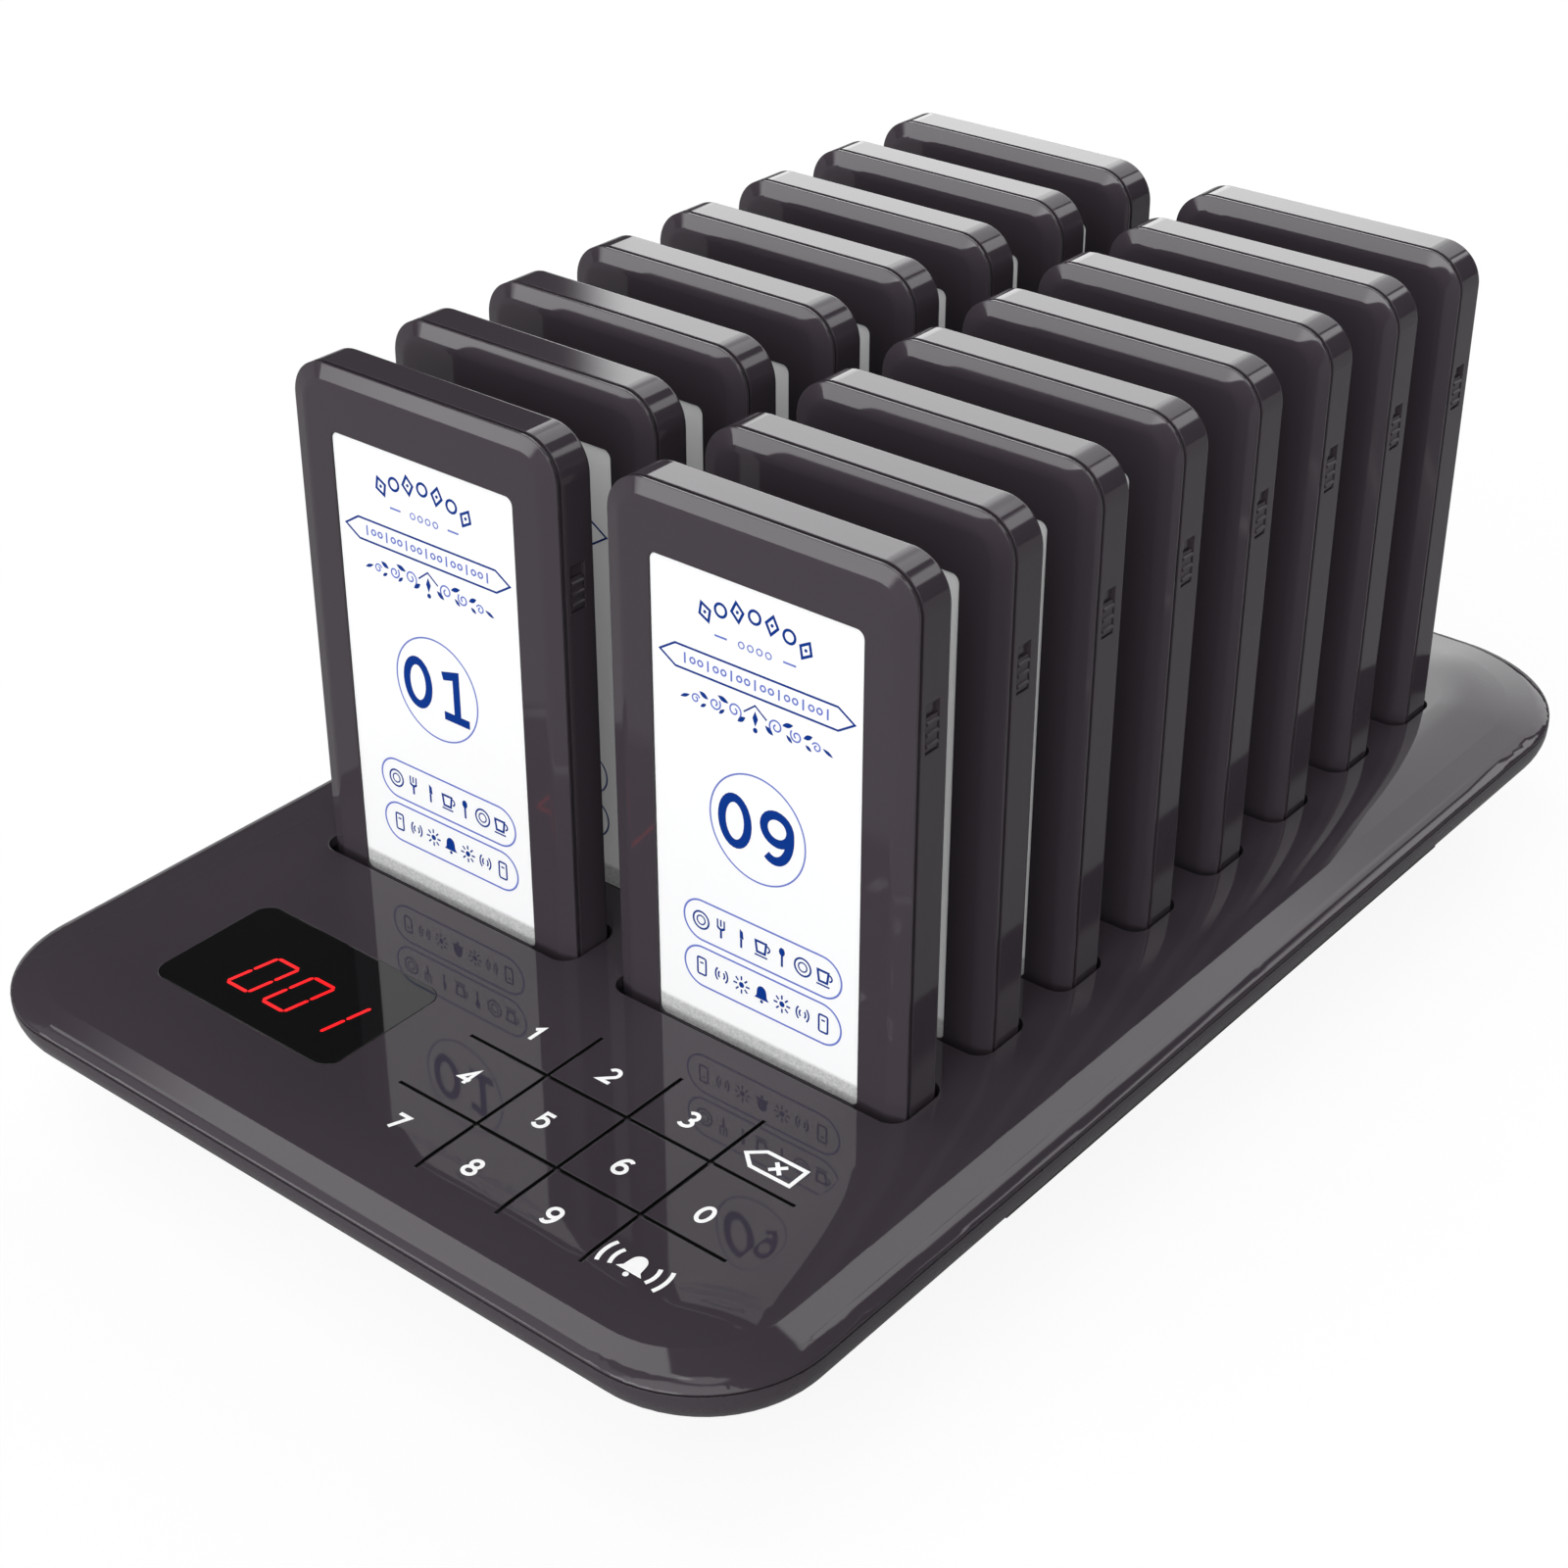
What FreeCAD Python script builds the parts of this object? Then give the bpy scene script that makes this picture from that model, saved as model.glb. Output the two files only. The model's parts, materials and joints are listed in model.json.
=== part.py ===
import FreeCAD, Part
import math
import os
from FreeCAD import Vector

# Guest pager system: a charging base with a touch keypad and a digit display, and sixteen
# pagers that stand in two columns of slots. Millimetres, +Z up, +X along the keypad's rows,
# front of the base towards -Y. The origin is below the middle of the base, at its feet.

# One overrun for every cut, and one small clearance for parts that sit in a recess
overrun = 1.0
seat_clearance = 0.12

# Pagers, and how they stand in the base
pager_columns = 2
pager_rows = 8
column_spacing = 71.8
row_pitch = 23.5
pager_width = 61.0
pager_height = 110.6
pager_depth = 9.2
pager_corner = 7.5
pager_sunk = 13.6
pager_rest_gap = 0.1
slot_gap_x = 0.6
slot_gap_y = 2.4
slot_width = pager_width + 2 * slot_gap_x
slot_depth = pager_depth + 2 * slot_gap_y

# Base, seen from above: the pagers' slots, and what stands out round them
base_side_margin = 20.8
first_row_front_gap = 74.55
last_row_back_gap = 41.05
base_height = 31.0
front_corner_radius = 23.5
back_corner_radius = 30.5
base_width = (pager_columns - 1) * column_spacing + slot_width + 2 * base_side_margin
base_length = first_row_front_gap + (pager_rows - 1) * row_pitch + last_row_back_gap
base_front = -base_length / 2
base_back = base_length / 2

# Top cover, from its flat top outwards: a crown that curves down, a straight bevel, a rounded rim.
# Each ends at its own distance in from the base's outline, on the sides, front and back
crown_side = 20.1
crown_front = 17.8
crown_back = 24.0
bevel_side = 7.6
bevel_front = 5.0
bevel_back = 10.0
rim_side = 3.0
rim_front = 1.9
rim_back = 3.0
crown_drop = 1.3
bevel_drop = 1.3
rim_corner_drop = 0.9
seam_depth = 4.4
seam_gap = 0.4
curve_sections = 4

# Top cover, inside: a ring round its edge, a sloped underside, and a tongue down into the case
cover_plate = 2.0
underside_side = 13.0
underside_front = 12.0
underside_back = 14.0
tongue_gap = 0.2
tongue_wall = 1.2
tongue_depth = 2.4
tongue_root = 0.5

# Bottom case: a short upright lip, then sides that run in under the base, furthest at the front
case_wall = 2.2
case_floor = 2.0
lip_height = 3.9
lip_radius = 7.7
lip_flat_least = 0.1
case_inset = 15.0
case_front_inset = 20.2
case_edge_radius = 6.0

# Rubber feet: two long rails and two round pads under the front
feet_height = 6.0
rail_width = 8.0
rail_edge_gap = 0.1
rail_front_gap = 92.0
rail_back_gap = 36.5
pad_radius = 6.0
pad_side_gap = 37.8
pad_front_gap = 30.0

# Pager front cover
face_bevel_width = 3.2
face_bevel_depth = 1.0
face_band = 0.4
face_crease_radius = 4.0
front_cover_depth = face_bevel_depth + face_band

# Pager back shell
shell_wall = 1.8
shell_back = 1.6
shell_edge_radius = 0.7
groove_width = 0.8
groove_depth = 0.6

# Pager screen panel, which shows through a window in the front cover
screen_width = 42.6
screen_top_margin = 11.5
screen_corner = 1.5
screen_recess = 0.35
screen_flange = 2.0
screen_flange_depth = 1.0

# Pager insides
board_depth = 1.2
board_margin = 2.4
battery_width = 34.0
battery_height = 48.0
battery_depth = 3.4
battery_low = 30.0
motor_radius = 4.0
motor_depth = 2.7
motor_height = 90.0

# Pager charging pads, and the pins in the base that meet them
contact_spread = 24.0
contact_pad_width = 6.0
contact_pad_depth = 3.0
contact_pad_thickness = 0.4
pin_radius = 1.1
pin_hole_clearance = 0.4
pin_gap = 0.05

# Pager side switch
switch_height = 84.1
switch_back = 0.4
switch_pocket_width = 3.4
switch_pocket_depth = 0.7
switch_travel = 2.0
switch_end_gap = 0.4
knob_height = 5.8
knob_side_gap = 0.3
knob_floor_gap = 0.1
knob_thickness = 0.4
rib_count = 3
rib_height = 0.8
rib_rise = 0.4
rib_taper = 0.2
stem_width = 1.6
stem_height = 1.4
stem_length = 2.6
stem_gap = 0.2

# Slots' corners, and the cradles under them
slot_corner = 3.5
cradle_wall = 1.6
cradle_flange = 1.6
cradle_floor = 1.6

# Touch keypad on the top cover
key_pitch_x = 17.57
key_pitch_y = 16.44
key_columns = 4
key_rows = 3
keypad_right_gap = 21.3
keypad_front_gap = 9.7
groove_line_width = 0.7
groove_line_depth = 0.5
column_line_lead = 2.7
column_line_trim = 5.72
row_line_trim = 0.48
touch_pad_radius = 4.5

# Display window and the digit module under it
window_width = 44.6
window_length = 27.4
window_corner = 3.5
window_thickness = 1.2
window_side_gap = 28.3
window_front_gap = 20.7
digit_module_width = 29.5
digit_module_length = 13.0
digit_offset_x = 2.8
digit_offset_y = -2.1
digit_opening_gap = 0.75

# Boards in the base
base_board_thickness = 1.6
control_board_top_gap = 6.5
control_board_window_margin = 2.5
control_board_keypad_margin = 0.5
control_board_front_gap = 11.75
control_board_back_margin = 11.7
control_post_left_margin = 7.0
control_post_right_margin = 12.0
control_post_front_margin = 13.25
control_post_back_margin = 6.25
charging_board_side_margin = 3.1
charging_board_end_margin = 6.75
charging_board_lift = 2.0
charging_post_margin_x = 6.0
charging_post_margin_y = 9.0
post_radius = 2.8

# Screws that hold the two halves of the base together
screw_front_side_gap = 27.8
screw_back_side_gap = 29.8
screw_first_row_gap = 14.2
screw_back_gap = 20.0
boss_radius = 4.0
boss_meeting = 18.0
screw_radius = 1.45
screw_hole_clearance = 0.25
screw_pilot_clearance = 0.02
screw_head_radius = 2.8
screw_head_height = 2.0
screw_length = 16.0
head_pocket_clearance = 0.3
head_recess = 0.6
pilot_spare = 1.0

# Power inlet in the back of the bottom case
inlet_body_width = 9.0
inlet_body_height = 10.0
inlet_body_length = 11.0
inlet_axis_height = 17.6
inlet_nose_radius = 4.0
inlet_nose_length = 6.0
inlet_bore_radius = 2.9
inlet_bore_depth = 9.5
inlet_pin_radius = 1.0
inlet_pin_length = 8.5
inlet_set_back = 13.2
inlet_hole_clearance = 0.2

# Heights that follow from the sizes above
cover_low = base_height - seam_depth + seam_gap / 2
case_high = base_height - seam_depth - seam_gap / 2
lip_low = case_high - lip_height
cover_underside = base_height - cover_plate
floor_top = feet_height + case_floor
pager_bottom = base_height - pager_sunk
cradle_low = pager_bottom - pager_rest_gap - cradle_floor
control_board_top = cover_underside - control_board_top_gap
charging_board_top = floor_top + charging_board_lift + base_board_thickness
window_underside = base_height - window_thickness

# Places on the base that follow from the sizes above
window_x = window_side_gap + window_width / 2 - base_width / 2
window_centre_y = base_front + window_front_gap + window_length / 2
keypad_right = base_width / 2 - keypad_right_gap
keypad_left = keypad_right + row_line_trim - key_columns * key_pitch_x
keypad_front = base_front + keypad_front_gap
control_board_left = window_x - window_width / 2 - control_board_window_margin
control_board_right = keypad_right + control_board_keypad_margin
control_board_front = base_front + control_board_front_gap
control_board_back = base_front + first_row_front_gap - slot_depth / 2 - control_board_back_margin
column_middle_y = (first_row_front_gap - last_row_back_gap) / 2
charging_board_width = slot_width - 2 * charging_board_side_margin
charging_board_length = (pager_rows - 1) * row_pitch + 2 * charging_board_end_margin
tongue_outside = case_wall + tongue_gap

# Depths in a pager, from its front face at -pager_depth / 2
face_front = -pager_depth / 2
face_seam = face_front + front_cover_depth
shell_rear = pager_depth / 2
window_low = screen_top_margin
window_high = pager_height - screen_top_margin
board_front = face_seam + screen_flange_depth
board_rear = board_front + board_depth


def rounded_wire(half_width, low, high, low_radius, high_radius, place):
    """A closed outline with rounded corners; place turns its two coordinates into a point."""
    bend = math.cos(math.pi / 4)
    corners = [
        (half_width - low_radius, low + low_radius, low_radius, 1, -1),
        (half_width - high_radius, high - high_radius, high_radius, 1, 1),
        (high_radius - half_width, high - high_radius, high_radius, -1, 1),
        (low_radius - half_width, low + low_radius, low_radius, -1, -1),
    ]
    arcs = []
    for index, (u, v, radius, side_u, side_v) in enumerate(corners):
        along = place(u + side_u * radius, v)
        across = place(u, v + side_v * radius)
        middle = place(u + side_u * radius * bend, v + side_v * radius * bend)
        ends = (across, along) if index % 2 == 0 else (along, across)
        arcs.append((ends[0], middle, ends[1]))
    edges = []
    for index, (start, middle, end) in enumerate(arcs):
        edges.append(Part.Arc(start, middle, end).toShape())
        following = arcs[(index + 1) % len(arcs)][0]
        edges.append(Part.LineSegment(end, following).toShape())
    return Part.Wire(edges)


def base_wire(z, side, front=None, back=None):
    """The base's outline at height z, drawn in by side, and by front and back where they differ."""
    front = side if front is None else front
    back = side if back is None else back
    return rounded_wire(
        base_width / 2 - side,
        base_front + front,
        base_back - back,
        front_corner_radius - min(side, front),
        back_corner_radius - min(side, back),
        lambda u, v: Vector(u, v, z),
    )


def pager_wire(y, inset):
    """The pager's outline at depth y, drawn in by inset."""
    return rounded_wire(
        pager_width / 2 - inset,
        inset,
        pager_height - inset,
        pager_corner - inset,
        pager_corner - inset,
        lambda u, v: Vector(u, y, v),
    )


def flat_wire(centre_x, centre_y, z, width, length, radius):
    """A level rounded rectangle."""
    return rounded_wire(
        width / 2,
        -length / 2,
        length / 2,
        radius,
        radius,
        lambda u, v: Vector(centre_x + u, centre_y + v, z),
    )


def upright_wire(y, width, low, high, radius):
    """An upright rounded rectangle that faces the front."""
    return rounded_wire(width / 2, low, high, radius, radius, lambda u, v: Vector(u, y, v))


def raised(wire, height):
    return Part.Face(wire).extrude(Vector(0, 0, height))


def pushed_back(wire, depth):
    return Part.Face(wire).extrude(Vector(0, depth, 0))


def between(first, second):
    """A solid with straight sides between two like outlines."""
    return Part.makeLoft([first, second], True, True)


def curved(wires):
    """A solid with smooth sides through several like outlines."""
    return Part.makeLoft(wires, True, False)


def box(x_low, x_high, y_low, y_high, z_low, z_high):
    corner = Vector(x_low, y_low, z_low)
    return Part.makeBox(x_high - x_low, y_high - y_low, z_high - z_low, corner)


def upright_cylinder(x, y, z_low, z_high, radius):
    return Part.makeCylinder(radius, z_high - z_low, Vector(x, y, z_low))


def joined(shapes):
    return shapes[0].fuse(shapes[1:]).removeSplitter()


def edges_at_height(shape, z):
    """Edges that lie level at height z."""
    tolerance = seat_clearance / 10
    return [e for e in shape.Edges if all(abs(v.Z - z) < tolerance for v in e.Vertexes)]


def edges_at_depth(shape, y):
    """Edges that lie at depth y."""
    tolerance = seat_clearance / 10
    return [e for e in shape.Edges if all(abs(v.Y - y) < tolerance for v in e.Vertexes)]


def column_x(column):
    return (column - (pager_columns - 1) / 2) * column_spacing


def row_y(row):
    return base_front + first_row_front_gap + row * row_pitch


def pager_places():
    """Centre of each slot, column by column from the left, front to back."""
    return [(column_x(c), row_y(r)) for c in range(pager_columns) for r in range(pager_rows)]


def contact_places():
    return [(x + side * contact_spread / 2, y) for x, y in pager_places() for side in (-1, 1)]


def screw_places():
    front = (base_width / 2 - screw_front_side_gap, row_y(0) - screw_first_row_gap)
    back = (base_width / 2 - screw_back_side_gap, base_back - screw_back_gap)
    return [(side * x, y) for x, y in (front, back) for side in (-1, 1)]


def key_centres():
    centres = []
    for row in range(key_rows):
        for column in range(key_columns):
            x = keypad_left + (column + 0.5) * key_pitch_x
            y = keypad_front + (row + 0.5) * key_pitch_y
            centres.append((x, y))
    return centres


def keypad_grooves():
    """Fine engraved lines between the keys, open at both ends."""
    low = base_height - groove_line_depth
    high = base_height + overrun
    half = groove_line_width / 2
    front = keypad_front + column_line_lead
    back = front + key_rows * key_pitch_y - column_line_trim
    grooves = []
    for column in range(1, key_columns):
        x = keypad_left + column * key_pitch_x
        grooves.append(box(x - half, x + half, front, back, low, high))
    for row in range(1, key_rows):
        y = keypad_front + row * key_pitch_y
        grooves.append(box(keypad_left, keypad_right, y - half, y + half, low, high))
    return grooves


def slot_cut(x, y, z_low, z_high, growth=0.0):
    wire = flat_wire(x, y, z_low, slot_width + 2 * growth, slot_depth + 2 * growth, slot_corner + growth)
    return raised(wire, z_high - z_low)


def crown_section(share):
    """The outline where the crown has come down by share squared of its drop."""
    left = 1 - share
    return base_wire(
        base_height - crown_drop * share**2,
        bevel_side + left * (crown_side - bevel_side),
        bevel_front + left * (crown_front - bevel_front),
        bevel_back + left * (crown_back - bevel_back),
    )


def rim_section(share):
    """The outline at share of the way round the rim, from the bevel's slope to upright."""
    left = 1 - share
    high = base_height - crown_drop - bevel_drop
    corner = high - rim_corner_drop
    z = left**2 * high + 2 * left * share * corner + share**2 * cover_low
    return base_wire(z, left**2 * rim_side, left**2 * rim_front, left**2 * rim_back)


def cover_outside():
    shares = [step / curve_sections for step in range(curve_sections + 1)]
    crown = curved([crown_section(share) for share in reversed(shares)])
    bevel = between(rim_section(0), crown_section(1))
    rim = curved([rim_section(share) for share in reversed(shares)])
    return joined([rim, bevel, crown])


def cover_hollow():
    """The space under the cover, narrower towards the top where the rim curves in."""
    ring = tongue_outside + tongue_wall
    opening = raised(base_wire(cover_low - overrun, ring), overrun)
    slope = between(
        base_wire(cover_low, ring),
        base_wire(cover_underside, underside_side, underside_front, underside_back),
    )
    return joined([opening, slope])


def cover_tongue():
    """A thin ring that reaches down inside the bottom case's wall."""
    low = cover_low - tongue_depth
    outside = raised(base_wire(low, tongue_outside), tongue_depth + tongue_root)
    inside = raised(
        base_wire(low - overrun, tongue_outside + tongue_wall), tongue_depth + tongue_root + 2 * overrun
    )
    return outside.cut(inside)


def top_cover():
    body = joined([cover_outside().cut(cover_hollow()), cover_tongue()])
    top = base_height + overrun
    slots = [slot_cut(x, y, cover_underside - overrun, top) for x, y in pager_places()]
    window = raised(
        flat_wire(window_x, window_centre_y, window_underside, window_width, window_length, window_corner),
        top - window_underside,
    )
    opening = box(
        window_x + digit_offset_x - digit_module_width / 2 - digit_opening_gap,
        window_x + digit_offset_x + digit_module_width / 2 + digit_opening_gap,
        window_centre_y + digit_offset_y - digit_module_length / 2 - digit_opening_gap,
        window_centre_y + digit_offset_y + digit_module_length / 2 + digit_opening_gap,
        cover_underside - overrun,
        top,
    )
    body = body.cut(slots + [window, opening] + keypad_grooves())
    bosses = [upright_cylinder(x, y, boss_meeting, cover_underside, boss_radius) for x, y in screw_places()]
    screw_top = feet_height + head_recess + screw_head_height + screw_length
    pilots = [
        upright_cylinder(
            x, y, boss_meeting - overrun, screw_top + pilot_spare, screw_radius + screw_pilot_clearance
        )
        for x, y in screw_places()
    ]
    return joined([body] + bosses).cut(pilots)


def case_section(z, inset):
    """The outline at height z of the case's sloping sides, further in by inset."""
    share = (lip_low - z) / (lip_low - feet_height)
    side = share * case_inset + inset
    return base_wire(z, side, share * case_front_inset + inset, side)


def bottom_case():
    lip = raised(base_wire(lip_low, 0), case_high - lip_low)
    hull = between(case_section(feet_height, 0), case_section(lip_low, 0))
    outside = joined([lip, hull])
    outside = outside.makeFillet(lip_round(), edges_at_height(outside, lip_low))
    outside = outside.makeFillet(case_edge_radius, edges_at_height(outside, feet_height))
    upper_hollow = raised(base_wire(lip_low, case_wall), case_high - lip_low + overrun)
    lower_hollow = between(case_section(floor_top, case_wall), case_section(lip_low, case_wall))
    shell = outside.cut(joined([upper_hollow, lower_hollow]))
    return shell_with_details(shell)


def lip_round():
    """The radius below the lip, at most what the lip's height leaves room for."""
    turn = math.atan(max(case_inset, case_front_inset) / (lip_low - feet_height))
    return min(lip_radius, (lip_height - lip_flat_least) / math.tan(turn / 2))


def shell_with_details(shell):
    """Adds the posts, bosses and the inlet's pedestal to the bottom case, and cuts its holes."""
    additions = [shell]
    pedestal_low = floor_top - case_floor / 2
    additions.append(
        box(
            -inlet_body_width / 2,
            inlet_body_width / 2,
            base_back - inlet_set_back - inlet_body_length,
            base_back - case_inset - case_wall,
            pedestal_low,
            inlet_axis_height - inlet_body_height / 2,
        )
    )
    for x, y in screw_places():
        additions.append(upright_cylinder(x, y, pedestal_low, boss_meeting, boss_radius))
    for x, y in control_post_places():
        post_top = control_board_top - base_board_thickness
        additions.append(upright_cylinder(x, y, pedestal_low, post_top, post_radius))
    for x, y in charging_post_places():
        post_top = charging_board_top - base_board_thickness
        additions.append(upright_cylinder(x, y, pedestal_low, post_top, post_radius))
    shaft = screw_radius + screw_hole_clearance
    head = screw_head_radius + head_pocket_clearance
    head_top = feet_height + head_recess + screw_head_height
    cuts = []
    for x, y in screw_places():
        cuts.append(upright_cylinder(x, y, feet_height - overrun, boss_meeting + overrun, shaft))
        cuts.append(upright_cylinder(x, y, feet_height - overrun, head_top, head))
    nose_start = Vector(0, base_back - inlet_set_back, inlet_axis_height)
    nose_hole = inlet_nose_radius + inlet_hole_clearance
    cuts.append(Part.makeCylinder(nose_hole, inlet_set_back + overrun, nose_start, Vector(0, 1, 0)))
    return joined(additions).cut(cuts)


def control_post_places():
    xs = (control_board_left + control_post_left_margin, control_board_right - control_post_right_margin)
    ys = (control_board_front + control_post_front_margin, control_board_back - control_post_back_margin)
    return [(x, y) for x in xs for y in ys]


def charging_post_places():
    half_x = charging_board_width / 2 - charging_post_margin_x
    half_y = charging_board_length / 2 - charging_post_margin_y
    places = []
    for column in range(pager_columns):
        for side_x in (-1, 1):
            for side_y in (-1, 1):
                places.append((column_x(column) + side_x * half_x, column_middle_y + side_y * half_y))
    return places


def pager_cradle(column):
    """Eight wells that hang from one flange, with holes for the charging pins."""
    flange_width = slot_width + 2 * cradle_wall
    span = (pager_rows - 1) * row_pitch + slot_depth + 2 * cradle_wall
    flange_low = cover_underside - cradle_flange
    corner = slot_corner + cradle_wall
    flange = raised(
        flat_wire(column_x(column), column_middle_y, flange_low, flange_width, span, corner),
        cradle_flange,
    )
    places = [(column_x(column), row_y(row)) for row in range(pager_rows)]
    wells = [slot_cut(x, y, cradle_low, cover_underside, cradle_wall) for x, y in places]
    floor = cradle_low + cradle_floor
    cuts = [slot_cut(x, y, floor, cover_underside + overrun) for x, y in places]
    hole = pin_radius + pin_hole_clearance
    for x, y in places:
        for side in (-1, 1):
            pin_x = x + side * contact_spread / 2
            cuts.append(upright_cylinder(pin_x, y, cradle_low - overrun, floor + overrun, hole))
    return joined([flange] + wells).cut(cuts)


def display_window():
    wire = flat_wire(
        window_x,
        window_centre_y,
        window_underside,
        window_width - 2 * seat_clearance,
        window_length - 2 * seat_clearance,
        window_corner - seat_clearance,
    )
    return raised(wire, window_thickness)


def digit_display():
    return box(
        window_x + digit_offset_x - digit_module_width / 2,
        window_x + digit_offset_x + digit_module_width / 2,
        window_centre_y + digit_offset_y - digit_module_length / 2,
        window_centre_y + digit_offset_y + digit_module_length / 2,
        control_board_top,
        window_underside,
    )


def control_board():
    return box(
        control_board_left,
        control_board_right,
        control_board_front,
        control_board_back,
        control_board_top - base_board_thickness,
        control_board_top,
    )


def touch_pads():
    """Spring pads that carry each key's field from the board up to the cover."""
    return [
        upright_cylinder(x, y, control_board_top, cover_underside, touch_pad_radius)
        for x, y in key_centres()
    ]


def charging_boards():
    boards = []
    for column in range(pager_columns):
        boards.append(
            box(
                column_x(column) - charging_board_width / 2,
                column_x(column) + charging_board_width / 2,
                column_middle_y - charging_board_length / 2,
                column_middle_y + charging_board_length / 2,
                charging_board_top - base_board_thickness,
                charging_board_top,
            )
        )
    return boards


def charging_pins():
    tip = pager_bottom - pin_gap
    return [upright_cylinder(x, y, charging_board_top, tip, pin_radius) for x, y in contact_places()]


def rubber_feet():
    rail_outer = base_width / 2 - case_inset - rail_edge_gap
    pad_x = base_width / 2 - pad_side_gap
    pad_y = base_front + pad_front_gap
    feet = []
    for side in (-1, 1):
        low, high = sorted((side * rail_outer, side * (rail_outer - rail_width)))
        feet.append(box(low, high, base_front + rail_front_gap, base_back - rail_back_gap, 0, feet_height))
        feet.append(upright_cylinder(side * pad_x, pad_y, 0, feet_height, pad_radius))
    return feet


def case_screws():
    screws = []
    for x, y in screw_places():
        head_low = feet_height + head_recess
        head_high = head_low + screw_head_height
        head = upright_cylinder(x, y, head_low, head_high, screw_head_radius)
        shaft = upright_cylinder(x, y, head_high, head_high + screw_length, screw_radius)
        screws.append(joined([head, shaft]))
    return screws


def power_inlet():
    back = base_back - inlet_set_back
    body = box(
        -inlet_body_width / 2,
        inlet_body_width / 2,
        back - inlet_body_length,
        back,
        inlet_axis_height - inlet_body_height / 2,
        inlet_axis_height + inlet_body_height / 2,
    )
    backwards = Vector(0, 1, 0)
    nose_start = Vector(0, back, inlet_axis_height)
    nose = Part.makeCylinder(inlet_nose_radius, inlet_nose_length, nose_start, backwards)
    mouth = back + inlet_nose_length
    bore_start = Vector(0, mouth - inlet_bore_depth, inlet_axis_height)
    bore = Part.makeCylinder(inlet_bore_radius, inlet_bore_depth + overrun, bore_start, backwards)
    pin = Part.makeCylinder(inlet_pin_radius, inlet_pin_length, bore_start, backwards)
    return [joined([body, nose]).cut(bore), pin]


def pager_front_cover():
    bevel_end = face_front + face_bevel_depth
    bevel = between(pager_wire(face_front, face_bevel_width), pager_wire(bevel_end, 0))
    band = pushed_back(pager_wire(bevel_end, 0), face_band)
    body = joined([bevel, band])
    body = body.makeFillet(face_crease_radius, edges_at_depth(body, face_front))
    window = pushed_back(
        upright_wire(face_front - overrun, screen_width, window_low, window_high, screen_corner),
        front_cover_depth + 2 * overrun,
    )
    return body.cut(window)


def pager_back_shell():
    groove_end = face_seam + groove_width
    rim = pushed_back(pager_wire(face_seam, groove_depth), groove_width)
    tub = pushed_back(pager_wire(groove_end, 0), shell_rear - groove_end)
    tub = tub.makeFillet(shell_edge_radius, edges_at_depth(tub, shell_rear))
    hollow_start = face_seam - overrun
    hollow = pushed_back(pager_wire(hollow_start, shell_wall), shell_rear - shell_back - hollow_start)
    side = pager_width / 2
    pocket_half = (knob_height + switch_travel) / 2 + switch_end_gap
    pocket = box(
        side - switch_pocket_depth,
        side + overrun,
        switch_back - switch_pocket_width / 2,
        switch_back + switch_pocket_width / 2,
        switch_height - pocket_half,
        switch_height + pocket_half,
    )
    slit_half = (stem_height + switch_travel) / 2 + stem_gap
    slit = box(
        side - shell_wall - overrun,
        side + overrun,
        switch_back - stem_width / 2 - stem_gap,
        switch_back + stem_width / 2 + stem_gap,
        switch_height - slit_half,
        switch_height + slit_half,
    )
    pads = [charging_pad(side_sign, seat_clearance / 2) for side_sign in (-1, 1)]
    return joined([rim, tub]).cut([hollow, pocket, slit] + pads)


def charging_pad(side, growth):
    """A flat pad in the pager's bottom; growth makes the recess it lies in."""
    centre = side * contact_spread / 2
    return box(
        centre - contact_pad_width / 2 - growth,
        centre + contact_pad_width / 2 + growth,
        -contact_pad_depth / 2 - growth,
        contact_pad_depth / 2 + growth,
        -overrun if growth else 0,
        contact_pad_thickness,
    )


def pager_board():
    margin = shell_wall + board_margin
    return box(
        margin - pager_width / 2,
        pager_width / 2 - margin,
        board_front,
        board_rear,
        margin,
        pager_height - margin,
    )


def pager_battery():
    return box(
        -battery_width / 2,
        battery_width / 2,
        board_rear,
        board_rear + battery_depth,
        battery_low,
        battery_low + battery_height,
    )


def pager_motor():
    start = Vector(0, board_rear, motor_height)
    return Part.makeCylinder(motor_radius, motor_depth, start, Vector(0, 1, 0))


def pager_housing():
    """The two shells and what they hold: board, battery, buzzer motor and charging pads."""
    pads = [charging_pad(side, 0) for side in (-1, 1)]
    shells = [pager_front_cover(), pager_back_shell()]
    return Part.makeCompound(shells + [pager_board(), pager_battery(), pager_motor()] + pads)


def pager_screen():
    """The lit panel: its face stands in the window, and its flange lies behind the cover."""
    face_start = face_front + screen_recess
    face = pushed_back(
        upright_wire(
            face_start,
            screen_width - 2 * seat_clearance,
            window_low + seat_clearance,
            window_high - seat_clearance,
            screen_corner - seat_clearance,
        ),
        face_seam - face_start,
    )
    flange = pushed_back(
        upright_wire(
            face_seam,
            screen_width + 2 * screen_flange,
            window_low - screen_flange,
            window_high + screen_flange,
            screen_corner,
        ),
        screen_flange_depth,
    )
    return joined([face, flange])


def switch_knob():
    """A ribbed slider in the pocket of the pager's side, at the lower end of its travel."""
    inner = pager_width / 2 - switch_pocket_depth + knob_floor_gap
    outer = inner + knob_thickness
    low = switch_height - (knob_height + switch_travel) / 2
    half = switch_pocket_width / 2 - knob_side_gap
    plate = box(inner, outer, switch_back - half, switch_back + half, low, low + knob_height)
    middle = low + knob_height / 2
    stem = box(
        inner - stem_length,
        inner,
        switch_back - stem_width / 2,
        switch_back + stem_width / 2,
        middle - stem_height / 2,
        middle + stem_height / 2,
    )
    pieces = [plate, stem]
    for index in range(rib_count):
        rib_middle = low + knob_height * (index + 0.5) / rib_count
        pieces.append(switch_rib(outer, half, rib_middle))
    return joined(pieces)


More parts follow.
